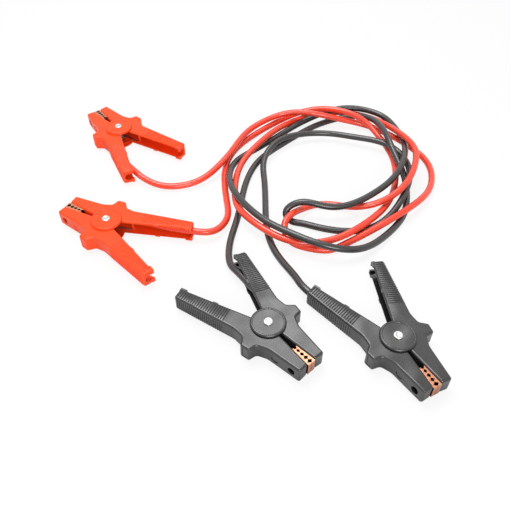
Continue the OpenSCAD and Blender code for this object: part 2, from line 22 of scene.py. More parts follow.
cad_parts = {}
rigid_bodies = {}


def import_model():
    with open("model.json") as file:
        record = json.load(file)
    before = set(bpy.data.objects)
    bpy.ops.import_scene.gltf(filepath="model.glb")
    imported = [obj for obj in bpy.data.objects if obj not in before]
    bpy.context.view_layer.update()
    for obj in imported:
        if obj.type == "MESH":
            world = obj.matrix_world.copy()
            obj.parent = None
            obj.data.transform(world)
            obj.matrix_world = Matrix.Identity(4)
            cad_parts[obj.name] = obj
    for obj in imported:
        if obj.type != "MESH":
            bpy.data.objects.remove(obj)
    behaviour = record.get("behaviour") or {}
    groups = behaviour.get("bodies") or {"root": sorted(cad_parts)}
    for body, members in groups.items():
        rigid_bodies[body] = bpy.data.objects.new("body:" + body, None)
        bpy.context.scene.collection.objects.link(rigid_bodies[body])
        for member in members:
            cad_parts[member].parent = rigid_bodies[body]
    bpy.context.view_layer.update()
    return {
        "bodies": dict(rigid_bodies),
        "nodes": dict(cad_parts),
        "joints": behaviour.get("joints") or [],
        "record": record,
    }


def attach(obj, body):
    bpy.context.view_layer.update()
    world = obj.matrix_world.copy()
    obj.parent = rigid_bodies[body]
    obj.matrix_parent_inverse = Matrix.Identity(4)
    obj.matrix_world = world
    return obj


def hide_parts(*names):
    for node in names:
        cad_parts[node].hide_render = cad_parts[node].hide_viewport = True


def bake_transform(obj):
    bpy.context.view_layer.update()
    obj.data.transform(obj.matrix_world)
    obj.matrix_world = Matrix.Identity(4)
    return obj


log = logging.getLogger("jump_leads")

MM = 0.001
ROOT_BODY = "leads"
CABLE = 8.4  # thickness of each cable, in millimetres

Pair = tuple[float, float]
Triple = tuple[float, float, float]


# --- Small helpers ---


def linear(hex_colour: str) -> tuple[float, float, float, float]:
    """Turns an sRGB hex colour into the linear colour that a shader takes.

    Args:
        hex_colour: six hex digits after a hash sign.

    Returns:
        Linear red, green and blue, and an alpha of 1.
    """
    parts = [int(hex_colour[i : i + 2], 16) / 255 for i in (1, 3, 5)]
    red, green, blue = (c / 12.92 if c <= 0.04045 else ((c + 0.055) / 1.055) ** 2.4 for c in parts)
    return red, green, blue, 1.0


def add_node(
    tree: NodeTree,
    kind: str,
    settings: dict[str | int, Any] | None = None,
    links: dict[str | int, NodeSocket] | None = None,
) -> Node:
    """Adds one node to a node tree.

    Args:
        tree: the tree that gets the node.
        kind: Blender's name for the node's type.
        settings: values for the node's inputs, by name or number, and for its own properties.
        links: sockets that feed the node's inputs, by the input's name or number.

    Returns:
        The new node.
    """
    node = tree.nodes.new(kind)
    for key, value in (settings or {}).items():
        if isinstance(key, int) or key in node.inputs:
            node.inputs[key].default_value = value
        else:
            setattr(node, key, value)
    for key, socket in (links or {}).items():
        tree.links.new(socket, node.inputs[key])
    return node


def new_object(name: str, mesh: Mesh) -> Object:
    """Links a mesh to the scene as an object at the origin.

    Args:
        name: the object's name.
        mesh: its mesh, in metres.

    Returns:
        The new object.
    """
    made = bpy.data.objects.new(name, mesh)
    bpy.context.scene.collection.objects.link(made)
    return made


def mesh_of(points: Iterable[Sequence[float]], faces: Iterable[Sequence[int]]) -> Mesh:
    """Makes a mesh from points in millimetres.

    Args:
        points: corners in millimetres.
        faces: corner numbers of each face.

    Returns:
        The mesh, in metres.
    """
    mesh = bpy.data.meshes.new("mesh")
    mesh.from_pydata([tuple(MM * c for c in p) for p in points], [], [tuple(f) for f in faces])
    mesh.validate()
    return mesh


def joined(meshes: Sequence[Mesh]) -> Mesh:
    """Puts several meshes, which don't touch, into one.

    Args:
        meshes: the meshes to put together.

    Returns:
        The new mesh.
    """
    points: list[Vector] = []
    faces: list[tuple[int, ...]] = []
    for mesh in meshes:
        start = len(points)
        points.extend(v.co.copy() for v in mesh.vertices)
        faces.extend(tuple(start + i for i in p.vertices) for p in mesh.polygons)
    made = bpy.data.meshes.new("mesh")
    made.from_pydata(points, [], faces)
    return made


class Step(Enum):
    """What one solid does to another."""

    ADD = "UNION"
    TAKE_AWAY = "DIFFERENCE"


def combined(target: Mesh, tool: Mesh, what: Step) -> Mesh:
    """Adds a solid to another, or takes it away.

    Args:
        target: the solid that is changed.
        tool: the solid that is added or taken away.
        what: which of the two is done.

    Returns:
        A new mesh with the result.
    """
    body, other = new_object("cut_body", target), new_object("cut_tool", tool)
    step = body.modifiers.new("step", "BOOLEAN")
    step.operation, step.solver, step.object = what.value, "EXACT", other
    bpy.context.view_layer.update()
    result = bpy.data.meshes.new_from_object(body.evaluated_get(bpy.context.evaluated_depsgraph_get()))
    bpy.data.objects.remove(body)
    bpy.data.objects.remove(other)
    return result


def stacked(loops: Sequence[Sequence[Sequence[float]]]) -> Mesh:
    """A closed skin over a stack of outlines.

    Args:
        loops: the points of each outline in millimetres, as many in each, and anticlockwise
            as seen from the last outline's side.

    Returns:
        The closed mesh.
    """
    count = len(loops[0])
    points = [point for loop in loops for point in loop]
    faces = [tuple(range(count))[::-1]]
    for start in range(0, len(points) - count, count):
        for i in range(count):
            here, after = start + i, start + (i + 1) % count
            faces.append((here, after, after + count, here + count))
    faces.append(tuple(range(len(points) - count, len(points))))
    return mesh_of(points, faces)


def prism(outline: Sequence[Sequence[float]], low: float, high: float) -> Mesh:
    """A straight prism of an anticlockwise outline, between two heights in millimetres."""
    return stacked([[(*point, height) for point in outline] for height in (low, high)])


def block(x: Pair, y: Pair, z: Pair) -> Mesh:
    """A square block between two values each of x, y and z, in millimetres."""
    return prism([(x[0], y[0]), (x[1], y[0]), (x[1], y[1]), (x[0], y[1])], *z)


def turned(profile: Sequence[Pair], steps: int = 96) -> Mesh:
    """A solid of revolution about Z.

    Args:
        profile: radius and height of each point, from the lower end to the upper end. A radius
            of 0 at an end closes it on the axis.
        steps: facets round the axis.

    Returns:
        The closed mesh.
    """
    points: list[Triple] = []
    rings: list[list[int]] = []
    for radius, height in profile:
        if radius == 0:
            rings.append([len(points)] * steps)
            points.append((0.0, 0.0, height))
            continue
        rings.append(list(range(len(points), len(points) + steps)))
        for k in range(steps):
            angle = 2 * math.pi * k / steps
            points.append((radius * math.cos(angle), radius * math.sin(angle), height))
    faces = []
    for low, high in zip(rings, rings[1:]):
        for k in range(steps):
            after = (k + 1) % steps
            # On the axis two of the four corners are one, and the face is a triangle.
            faces.append(tuple(dict.fromkeys([low[k], low[after], high[after], high[k]])))
    return mesh_of(points, faces)


def drum(diameter: float, low: float, high: float, steps: int = 96) -> Mesh:
    """A plain round bar about Z, between two heights in millimetres."""
    return turned([(0, low), (diameter / 2, low), (diameter / 2, high), (0, high)], steps)


def placed(mesh: Mesh, *steps: Matrix) -> Mesh:
    """Moves a mesh.

    Args:
        mesh: the mesh, which is changed.
        steps: the moves, of which the last is made first.

    Returns:
        The same mesh.
    """
    for step in reversed(steps):
        mesh.transform(step)
    return mesh


def shift(x: float, y: float, z: float) -> Matrix:
    """A move by millimetres."""
    return Matrix.Translation((MM * x, MM * y, MM * z))


def turn(degrees: float, axis: str) -> Matrix:
    """A turn about an axis through the origin."""
    return Matrix.Rotation(math.radians(degrees), 4, axis)


def shade(mesh: Mesh, crease: float) -> Mesh:
    """Shades a mesh smoothly, but for its sharp edges.

    Args:
        mesh: the mesh, which is changed.
        crease: the most degrees that an edge may turn by and still look smooth.

    Returns:
        The same mesh.
    """
    mesh.shade_smooth()
    mesh.set_sharp_from_angle(angle=math.radians(crease))
    return mesh


def even_normals(piece: Object) -> None:
    """Lets the wide flat faces of a piece set the normals along their rounded edges."""
    step = piece.modifiers.new("even_normals", "WEIGHTED_NORMAL")
    step.keep_sharp, step.weight = True, 60


# --- Finishes ---


@dataclass(frozen=True)
class Finish:
    """What every finish has: a name, the colour of its body and the record's slot."""

    name: str
    colour: str
    slot: str

    @cached_property
    def bare(self) -> Material:
        """The material before it has any node, made once."""
        made = bpy.data.materials.new(self.name)
        made.use_nodes = True
        made.node_tree.nodes.clear()
        return made

    @property
    def tree(self) -> NodeTree:
        """The material's node tree."""
        return self.bare.node_tree

    @cached_property
    def place(self) -> NodeSocket:
        """The place on the surface in metres, by which the patterns are drawn."""
        return add_node(self.tree, "ShaderNodeTexCoord").outputs["Object"]

    @cached_property
    def material(self) -> Material:
        """The whole material, made once."""
        add_node(self.tree, "ShaderNodeOutputMaterial", links={"Surface": self.shader().outputs[0]})
        return self.bare

    def shader(self) -> Node:
        """Adds the shader with its patterns, which each finish has its own way for."""
        raise NotImplementedError

    def tones(self, size: float, depth: float) -> tuple[NodeSocket, NodeSocket]:
        """A soft pattern that makes the colour lighter and darker by turns.

        Args:
            size: the pattern's size in millimetres.
            depth: how much darker the darkest part is, from 0 to 1.

        Returns:
            The colour, and the pattern as a number from 0 to 1.
        """
        scale = {"Scale": 1 / (size * MM), "Detail": 3.0}
        noise = add_node(self.tree, "ShaderNodeTexNoise", scale, {"Vector": self.place})
        reach = {"From Min": 0.3, "From Max": 0.7}
        spread = add_node(self.tree, "ShaderNodeMapRange", reach, {"Value": noise.outputs["Fac"]})
        body = linear(self.colour)
        dark = (*(c * (1 - depth) for c in body[:3]), 1.0)
        ends = {"data_type": "RGBA", 6: dark, 7: body}
        mix = add_node(self.tree, "ShaderNodeMix", ends, {0: spread.outputs[0]})
        return mix.outputs[2], spread.outputs[0]

    def relief(
        self,
        size: float,
        depth: float,
        strength: float,
        detail: float = 0.0,
        over: NodeSocket | None = None,
    ) -> NodeSocket:
        """Dents too small to model, which bend the highlights.

        Args:
            size: the width of a dent in millimetres.
            depth: its depth in millimetres.
            strength: the share of the depth that shows.
            detail: how many finer sizes of dent lie in it.
            over: the normal of a relief that this one lies on.

        Returns:
            The surface's normal.
        """
        scale = {"Scale": 1 / (size * MM), "Detail": detail}
        noise = add_node(self.tree, "ShaderNodeTexNoise", scale, {"Vector": self.place})
        links = {"Height": noise.outputs["Fac"]}
        if over is not None:
            links["Normal"] = over
        amount = {"Strength": strength, "Distance": depth * MM}
        return add_node(self.tree, "ShaderNodeBump", amount, links).outputs[0]


@dataclass(frozen=True)
class MouldedPvc(Finish):
    """Hard PVC, injection moulded in a spark-eroded tool: satin, with a very fine grain.

    The grain is near 0.1 mm on the real one. It is drawn at 0.7 mm, so that it shows at all.
    Sink marks over the walls behind are slow dents, which bend the highlights. Millimetres.
    """

    roughness: float
    gloss: float
    tone: float = 14.0
    grain: float = 0.7
    grain_depth: float = 0.02
    sink_mark: float = 24.0
    sink_depth: float = 1.2

    def shader(self) -> Node:
        """Adds the shader, with the grain over the sink marks.

        Returns:
            The shader.
        """
        colour, pattern = self.tones(self.tone, depth=0.06)
        ends = {"To Min": self.roughness + 0.05, "To Max": self.roughness - 0.04}
        gloss = add_node(self.tree, "ShaderNodeMapRange", ends, {"Value": pattern})
        dents = self.relief(self.sink_mark, self.sink_depth, strength=1.0)
        grain = self.relief(self.grain, self.grain_depth, strength=0.05, detail=2.0, over=dents)
        return add_node(
            self.tree,
            "ShaderNodeBsdfPrincipled",
            {"Specular IOR Level": self.gloss, "IOR": 1.53},
            {"Base Color": colour, "Roughness": gloss.outputs[0], "Normal": grain},
        )


@dataclass(frozen=True)
class SoftPvc(Finish):
    """Plasticised PVC, extruded over the strands: smooth and glossy.

    The strands below show through as a faint, slow ripple. The skin that the hot die leaves is
    glossier than the body below it. Millimetres.
    """

    tone: float = 30.0
    ripple: float = 9.0
    ripple_depth: float = 0.2

    def shader(self) -> Node:
        """Adds the shader, with the glossy skin as its coat.

        Returns:
            The shader.
        """
        colour, _ = self.tones(self.tone, depth=0.06)
        ripple = self.relief(self.ripple, self.ripple_depth, strength=0.3)
        return add_node(
            self.tree,
            "ShaderNodeBsdfPrincipled",
            {"Roughness": 0.34, "Coat Weight": 0.5, "Coat Roughness": 0.14, "IOR": 1.52},
            {"Base Color": colour, "Normal": ripple},
        )


@dataclass(frozen=True)
class WorkedMetal(Finish):
    """Plated sheet or drawn wire: bright, with the small marks that tools and use leave on it.

    A metal given a dark colour for its hollows darkens near a wall, the more the walls shut it in:
    painted shade, with some of the tarnish that gathers there. Millimetres.
    """

    roughness: float
    mark: float
    mark_depth: float = 0.04
    tone: float = 4.0
    shade_and_tarnish: str | None = None
    shade_reach: float = 10.0

    def with_shade_and_tarnish(self, colour: NodeSocket) -> NodeSocket:
        """Paints shade on the colour near walls, where they shut the metal in.

        Args:
            colour: the colour of the metal in the open, without painted shade.

        Returns:
            The colour with its painted shade and tarnish.
        """
        reach = {"Distance": self.shade_reach * MM, "samples": 8}
        # How open each point is to the walls round it: the share that gets no painted shade.
        open_share = add_node(
            self.tree,
            "ShaderNodeMapRange",
            {"From Min": 0.4, "From Max": 0.75},
            {"Value": add_node(self.tree, "ShaderNodeAmbientOcclusion", reach).outputs["AO"]},
        )
        ends = {"data_type": "RGBA", 6: linear(self.shade_and_tarnish)}
        return add_node(self.tree, "ShaderNodeMix", ends, {0: open_share.outputs[0], 7: colour}).outputs[2]

    def shader(self) -> Node:
        """Adds the shader, rougher where its tone is dark.

        Returns:
            The shader.
        """
        colour, pattern = self.tones(self.tone, depth=0.15)
        ends = {"To Min": self.roughness + 0.1, "To Max": self.roughness}
        gloss = add_node(self.tree, "ShaderNodeMapRange", ends, {"Value": pattern})
        links = {
            # Painted shade: the copper darkens in its hollows, where the walls shut it in.
            "Base Color": self.with_shade_and_tarnish(colour) if self.shade_and_tarnish else colour,
            "Roughness": gloss.outputs[0],
            "Normal": self.relief(self.mark, self.mark_depth, strength=0.2, detail=4.0),
        }
        return add_node(self.tree, "ShaderNodeBsdfPrincipled", {"Metallic": 1.0}, links)


class LeadColour(Enum):
    """The two leads, by the colour that tells their poles apart."""

    RED = "red"
    BLACK = "black"


# The red arms shine less than the black ones: their pigment scatters light below the skin.
ARM_FINISH = {
    LeadColour.RED: MouldedPvc("red_moulded_pvc", "#FF501C", "red_plastic", 0.34, gloss=0.28),
    LeadColour.BLACK: MouldedPvc("black_moulded_pvc", "#242423", "black_plastic", 0.26, gloss=0.7),
}
SHEATH_FINISH = {
    LeadColour.RED: SoftPvc("red_soft_pvc", "#F63E1A", "red_sheath"),
    LeadColour.BLACK: SoftPvc("black_soft_pvc", "#242120", "black_sheath"),
}
# Pressed strip, bright on its teeth. Its brown in the hollows where it is let into the arm is painted
# shade, with some tarnish.
COPPER = WorkedMetal("copper_plated_strip", "#D29274", "copper", 0.28, mark=1.2, shade_and_tarnish="#4A241A")
# Plated rivets: nearly white, with soft reflections.
NICKEL = WorkedMetal("nickel_plated_steel", "#D4D4D0", "rivet_steel", 0.24, mark=2.0)
# Bare drawn wire: greyer and duller than the plated pieces.
SPRING_WIRE = WorkedMetal("drawn_spring_wire", "#A6A8AA", "spring_steel", 0.32, mark=0.8)


def dress(piece: Object, finish: Finish) -> None:
    """Gives a piece its finish in every material slot.

    Args:
        piece: the piece that is dressed.
        finish: what it gets.
    """
    piece.data.materials.clear()
    piece.data.materials.append(finish.material)


# --- The moulded arm ---


def unit(v: np.ndarray) -> np.ndarray:
    """The vector scaled to a length of 1."""
    return v / np.linalg.norm(v)


def rounded(corners: Sequence[Triple], chord: float = 7.0) -> np.ndarray:
    """An outline with an arc in the place of each corner.

    Args:
        corners: x, y and radius of each corner in millimetres, anticlockwise.
        chord: the most degrees that one chord of an arc covers.

    Returns:
        The points of the outline.
    """
    points = []
    for i, (x, y, radius) in enumerate(corners):
        corner = np.array([x, y])
        back = unit(np.array(corners[i - 1][:2]) - corner)
        on = unit(np.array(corners[(i + 1) % len(corners)][:2]) - corner)
        half = math.acos(float(back @ on)) / 2
        centre = corner + unit(back + on) * radius / math.sin(half)
        first = unit(corner + back * radius / math.tan(half) - centre)
        last = unit(corner + on * radius / math.tan(half) - centre)
        sweep = math.pi - 2 * half
        steps = max(2, math.ceil(math.degrees(sweep) / chord))
        for k in range(steps + 1):
            t = k / steps
            part = math.sin(sweep * (1 - t)) * first + math.sin(sweep * t) * last
            points.append(centre + radius * part / math.sin(sweep))
    return np.array(points)


def inset(outline: np.ndarray, depth: float) -> np.ndarray:
    """The same outline moved inwards, with mitred corners.

    Args:
        outline: points in millimetres, anticlockwise.
        depth: how far each side moves, in millimetres.

    Returns:
        As many points as the outline has.
    """
    edges = np.roll(outline, -1, axis=0) - outline
    edges /= np.linalg.norm(edges, axis=1)[:, None]
    inward = np.stack([-edges[:, 1], edges[:, 0]], axis=1)
    before = np.roll(inward, 1, axis=0)
    mitre = 1 + (before * inward).sum(axis=1)
    return outline + depth * (before + inward) / mitre[:, None]


@dataclass
class ArmMoulding:
    """One half of a clamp: a hollow arm with the upper pivot disc and the lower ear.

    Its meshes are made with the pivot at the origin, +X to the jaws and +Y to this arm's side.
    The other half of a clamp is the same moulding, turned over about X. Sizes in millimetres.
    """

    # The outline
    handle_reach: float = 97.0
    handle_angle: float = 21.3
    handle_end_width: float = 13.3
    end_slant: float = 0.36
    handle_root: Pair = (-18.0, 30.4)
    lobe_back: Pair = (0.8, 38.6)
    lobe_front: Pair = (11.3, 36.7)
    shoulder: Pair = (23.0, 21.8)
    jaw_reach: float = 62.0
    tip_lead: float = 0.4
    tip_lag: float = 0.8
    tip_side: float = 16.6
    jaw_root: Pair = (17.0, 1.2)
    jaw_slope: float = 0.08
    corner_radius: float = 2.6
    # The shell
    arm_height: float = 19.5
    wall: float = 2.3
    edge_radius: float = 2.4
    channel_cut: float = 4.0
    # The pivot
    disc: float = 37.5
    disc_thickness: float = 3.0
    dish: float = 0.6
    ear: float = 30.0
    pivot_hole: float = 6.1
    gap: float = 0.2
    bond: float = 0.05
    running_room: float = 0.6
    # Holes and recesses, and the spring's post by its x, y and width
    mouth: float = 9.8
    mouth_slot: float = 8.0
    hole: float = 8.5
    hole_x: float = 52.0
    mark: float = 9.0
    mark_x: float = 32.0
    mark_depth: float = 1.2
    lobe_panel: Triple = (5.6, 1.0, 14.4)
    post: Triple = (-24.0, 18.0, 4.4)
    # How far a cutting tool reaches past what it cuts, and a joined piece into what holds it
    through: float = 4.0
    sunk: float = 0.5
    # The grip ribs, counted from the handle's end
    first_rib: float = 3.0
    rib_pitch: float = 2.75
    rib_count: int = 22
    rib_height: float = 0.7
    rib_width: float = 1.3
    rib_sunk: float = 0.3

    @property
    def low(self) -> float:
        """Height of the arm's underside."""
        return self.disc_thickness

    @property
    def high(self) -> float:
        """Height of the arm's top."""
        return self.disc_thickness + self.arm_height

    @property
    def clamp_height(self) -> float:
        """Height of a whole clamp, over both discs."""
        return self.arm_height + 2 * self.disc_thickness

    @property
    def middle(self) -> float:
        """Height of a clamp's middle plane."""
        return self.clamp_height / 2

    @property
    def along_handle(self) -> np.ndarray:
        """Direction of the handle's inner edge, from the pivot outwards."""
        angle = math.radians(self.handle_angle)
        return np.array([-math.cos(angle), math.sin(angle)])

    @property
    def across_end(self) -> np.ndarray:
        """Direction of the handle's end wall, from its inner to its outer corner."""
        return unit(np.array([self.end_slant, 1.0]))

    @property
    def inner_end(self) -> np.ndarray:
        """Inner corner of the handle's end."""
        return self.along_handle * self.handle_reach / math.cos(math.radians(self.handle_angle))

    @property
    def outer_end(self) -> np.ndarray:
        """Outer corner of the handle's end."""
        return self.inner_end + self.across_end * self.handle_end_width

    def jaw_face(self, x: float) -> float:
        """Distance of the jaw's inner face from the clamp's middle line."""
        return self.jaw_root[1] + self.jaw_slope * (x - self.jaw_root[0])

    @cached_property
    def corners(self) -> list[Triple]:
        """Corners of the arm, anticlockwise from the inner one of the jaw's tip.

        Returns:
            x, y and radius of each corner.
        """
        inner_tip = self.jaw_reach - self.tip_lag
        return [
            (inner_tip, self.jaw_face(inner_tip), self.corner_radius),
            (self.jaw_reach + self.tip_lead, self.tip_side, self.corner_radius),
            (*self.shoulder, 14.0),
            (12.4, 27.0, 5.0),
            (*self.lobe_front, self.corner_radius),
            (*self.lobe_back, self.corner_radius),
            (-6.0, 30.8, 5.0),
            (*self.handle_root, 16.0),
            (*self.outer_end, self.corner_radius),
            (*self.inner_end, self.corner_radius),
            (-16.8, 6.6, 4.0),
            (*self.jaw_root, 6.0),
        ]

    @cached_property
    def outline(self) -> np.ndarray:
        """Outline of the arm, with its rounded corners."""
        return rounded(self.corners)

    @cached_property
    def inside(self) -> np.ndarray:
        """The hollow: each side moved inwards by the wall, and the channel's side outwards.

        Returns:
            The hollow's corners, anticlockwise.
        """
        closed_sides = 9
        depths = [self.wall] * closed_sides + [-self.channel_cut, -self.channel_cut, self.wall]
        points = np.array(self.corners)[:, :2]
        count = len(points)
        found = []
        for i in range(count):
            before = unit(points[i] - points[i - 1])
            after = unit(points[(i + 1) % count] - points[i])
            moved = after * depths[i - 1] - before * depths[i]
            found.append(points[i] + moved / (before[0] * after[1] - before[1] * after[0]))
        return np.array(found)

    def outer_side(self, x: float) -> Pair:
        """The jaw's outer side.

        Args:
            x: where along the jaw.

        Returns:
            The side's y at x, and its heading in degrees.
        """
        from_x, from_y = self.shoulder
        slope = (self.tip_side - from_y) / (self.jaw_reach + self.tip_lead - from_x)
        return from_y + slope * (x - from_x), math.degrees(math.atan(slope))

    def body(self) -> Mesh:
        """The solid arm, with quarter-round edges above and below.

        Returns:
            The closed mesh.
        """
        steps = 5
        angles = [math.pi / 2 * k / steps for k in range(steps + 1)]
        r = self.edge_radius
        lower = [(r * (1 - math.sin(a)), self.low + r * (1 - math.cos(a))) for a in angles]
        upper = [(depth, self.low + self.high - z) for depth, z in reversed(lower)]
        return stacked([[(*p, z) for p in inset(self.outline, depth)] for depth, z in lower + upper])

    def hollows(self) -> list[Mesh]:
        """What is taken out of the solid arm.

        Returns:
            Its inside, the room for the other half's ear and disc, the cable's mouth with its
            slot, the round hole and mark of the jaw's outer side, and the panel on the lobe.
        """
        floor, roof = self.low + self.wall, self.high - self.wall
        both_ways = (-self.through, self.through)
        mouth_at = self.inner_end + self.across_end * self.handle_end_width * 0.45
        heading = math.degrees(math.atan2(self.across_end[1], self.across_end[0])) - 90
        to_mouth = (shift(*mouth_at, self.middle), turn(heading, "Z"))
        slot = block(both_ways, (-9.0, 0.0), (-self.mouth_slot / 2, self.mouth_slot / 2))
        holes = []
        for x, width, depth in ((self.hole_x, self.hole, 10.0), (self.mark_x, self.mark, self.mark_depth)):
            y, side = self.outer_side(x)
            steps = (shift(x, y, self.middle), turn(side, "Z"), turn(90, "X"))
            holes.append(placed(drum(width, -depth / 2, depth / 2, 48), *steps))
        (front_x, front_y), (back_x, back_y) = self.lobe_front, self.lobe_back
        lobe = (front_x + back_x) / 2, (front_y + back_y) / 2
        lobe_side = math.degrees(math.atan2(front_y - back_y, front_x - back_x))
        panel = block(*((-size / 2, size / 2) for size in self.lobe_panel))
        return [
            prism(self.inside, floor, roof),
            drum(self.ear + self.running_room, floor, self.high + 0.01),
            drum(self.disc + self.running_room, self.low - 1, self.low + self.gap),
            placed(drum(self.mouth, *both_ways, 48), *to_mouth, turn(90, "Y")),
            placed(slot, *to_mouth),
            *holes,
            placed(panel, shift(*lobe, self.middle), turn(lobe_side, "Z")),
        ]

    def disc_solid(self) -> Mesh:
        """The dished pivot disc with its rounded rim, on top of the arm.

        Returns:
            The closed mesh.
        """
        r, top = self.disc / 2, self.disc_thickness
        rim = [
            (r, 1.3), (r - 0.12, 1.75), (r - 0.4, 2.2), (r - 0.8, 2.6), (r - 1.25, 2.85),
            (r - 1.75, top), (r - 2.4, top), (r - 2.7, top - 0.2), (r - 2.9, top - self.dish),
        ]
        profile = [(0, -self.bond), (r, -self.bond), *rim, (0, top - self.dish)]
        return placed(turned(profile, 128), shift(0, 0, self.high))

    def rib(self, length: float) -> Mesh:
        """One grip rib along X, standing on the plane z = 0 and sunk a little into it.

        Args:
            length: the rib's length.

        Returns:
            The closed mesh.
        """
        h, w = self.rib_height, self.rib_width / 2
        crown = [(0.55 * w, 0.8 * h), (0, h), (-0.55 * w, 0.8 * h)]
        section = [(-w, -self.rib_sunk), (w, -self.rib_sunk), (w, 0), *crown, (-w, 0)]
        return stacked([[(x, *point) for point in section] for x in (-length / 2, length / 2)])

    @property
    def end_frame(self) -> Matrix:
        """Takes the handle's own frame, with X from its end to the pivot, to the arm's frame."""
        return shift(*self.inner_end, 0) @ turn(-self.handle_angle, "Z")

    def handle_width(self, x: float) -> float:
        """Width of the handle, at right angles to its inner edge.

        Args:
            x: where along the handle, from its end.

        Returns:
            The width there.
        """
        angle = math.radians(self.handle_angle)
        cos, sin = math.cos(angle), math.sin(angle)
        root = np.array(self.handle_root) - self.inner_end
        end = self.outer_end - self.inner_end
        (x0, y0), (x1, y1) = ((cos * p[0] - sin * p[1], sin * p[0] + cos * p[1]) for p in (end, root))
        return y0 + (y1 - y0) * (x - x0) / (x1 - x0)

    def ribs(self) -> Mesh:
        """The grip ribs across the handle's top and underside, and up its outer side.

        Returns:
            All ribs in one mesh.
        """
        edge = self.edge_radius - 0.2
        tall = self.arm_height - 2 * edge
        run = 60.0
        far, near = self.handle_width(self.first_rib), self.handle_width(self.first_rib + run)
        lean = math.degrees(math.atan((near - far) / run))
        parts = []
        for k in range(self.rib_count):
            x = self.first_rib + self.rib_pitch * k
            width = self.handle_width(x)
            for height, flip in ((self.high, 0), (self.low, 180)):
                to_face = (shift(x, width / 2, height), turn(90, "Z"), turn(flip, "X"))
                parts.append(placed(self.rib(width - 2 * edge), self.end_frame, *to_face))
            to_side = (shift(x, width, self.middle), turn(lean, "Z"), turn(-90, "X"), turn(90, "Z"))
            parts.append(placed(self.rib(tall), self.end_frame, *to_side))
        return joined(parts)

    def lips(self) -> Mesh:
        """The lip on the inner edges of the channel at the handle's end, and the tab before it.

        Returns:
            Both in one mesh.
        """
        lip = [(0, 3), (0, -0.8), (0.4, -1.2), (7.6, -1.2), (8.6, 0), (8.6, 3)]
        tab = [(40, 3), (40, 0), (40.4, -0.3), (45.6, -0.3), (46, 0), (46, 3)]
        low, high = self.low + self.sunk, self.high - self.sunk
        solids = [prism(outline, low, high) for outline in (lip, tab)]
        return placed(joined(solids), self.end_frame)

    @cached_property
    def mesh(self) -> Mesh:
        """The finished moulding, made once and copied for each arm.

        Returns:
            The closed mesh.
        """
        made = combined(self.body(), self.lips(), Step.ADD)
        for tool in self.hollows():
            made = combined(made, tool, Step.TAKE_AWAY)
        x, y, width = self.post
        foot, head = self.low + self.wall - self.sunk, self.high - self.wall + self.sunk
        post = placed(drum(width, foot, head, 48), shift(x, y, 0))
        ear = drum(self.ear, self.low + self.gap + self.bond, self.low + self.wall - self.bond)
        for tool in (ear, self.disc_solid(), post, self.ribs()):
            made = combined(made, tool, Step.ADD)
        bore = drum(self.pivot_hole, -1, self.clamp_height + 1, 48)
        return shade(combined(made, bore, Step.TAKE_AWAY), crease=34)


# --- A clamp ---


def swept(path: np.ndarray, headings: np.ndarray, diameter: float, sides: int) -> Mesh:
    """A round tube along a path that never stands upright.

    Args:
        path: points down the middle of the tube, in millimetres.
        headings: the path's direction at each point.
        diameter: the tube's diameter in millimetres.
        sides: facets round the tube.

    Returns:
        The closed mesh, shaded smooth.
    """
    points, faces = [], []
    for at, heading in zip(path, headings):
        across = unit(np.cross(heading, (0.0, 0.0, 1.0)))
        up = np.cross(across, unit(heading))
        for k in range(sides):
            angle = 2 * math.pi * (k + 0.5) / sides
            points.append(at + diameter / 2 * (math.cos(angle) * across + math.sin(angle) * up))
    for i in range(len(path) - 1):
        for k in range(sides):
            here, after = i * sides + k, i * sides + (k + 1) % sides
            faces.append((here, here + sides, after + sides, after))
    last = (len(path) - 1) * sides
    faces += [tuple(range(sides)), tuple(range(last, last + sides))[::-1]]
    return shade(mesh_of(points, faces), crease=50)


@dataclass
class ClampSpring:
    """The torsion spring round the pivot: lower leg, coil and upper leg. Millimetres."""

    wire: float = 1.8
    coil: float = 13.0
    turns: int = 4
    low: float = 6.4
    high: float = 19.1
    leg_angle: float = 72.0
    leg: float = 27.0
    rings_per_turn: int = 28
    sides: int = 12

    def mesh(self) -> Mesh:
        """The wire as one tube.

        Returns:
            The closed mesh, in the clamp's own frame.
        """
        sweep = math.radians(360 * self.turns + 2 * self.leg_angle)
        count = math.ceil(sweep / (2 * math.pi) * self.rings_per_turn)
        t = np.linspace(0, 1, count + 1)
        angle = t * sweep - math.radians(self.leg_angle)
        r = self.coil / 2
        coil = np.stack([r * np.cos(angle), r * np.sin(angle), self.low + t * (self.high - self.low)], 1)
        rise = np.full_like(angle, (self.high - self.low) / sweep)
        along = np.stack([-r * np.sin(angle), r * np.cos(angle), rise], 1)
        lean = math.radians(self.leg_angle)
        legs = {s: np.array([-math.sin(lean), s * math.cos(lean), 0.0]) for s in (-1, 1)}
        path = np.vstack([coil[0] + self.leg * legs[-1], coil, coil[-1] + self.leg * legs[1]])
        headings = np.vstack([-legs[-1], along, legs[1]])
        return swept(path, headings, self.wire, self.sides)


@dataclass(frozen=True)
class ClampPlace:
    """Where a clamp lies, read from the frame. Millimetres and degrees."""

    x: float
    y: float
    heading: float

    def matrix(self) -> Matrix:
        """Takes a mesh from the clamp's own frame to its place."""
        return shift(self.x, self.y, 0) @ turn(self.heading, "Z")

    def point(self, x: float, y: float, z: float) -> np.ndarray:
        """Takes a point from the clamp's own frame to its place.

        Args:
            x: along the clamp, towards its jaws.
            y: across it.
            z: above the table.

        Returns:
            The point, in millimetres.
        """
        angle = math.radians(self.heading)
        return np.array([
            self.x + math.cos(angle) * x - math.sin(angle) * y,
            self.y + math.sin(angle) * x + math.cos(angle) * y,
            z,
        ])


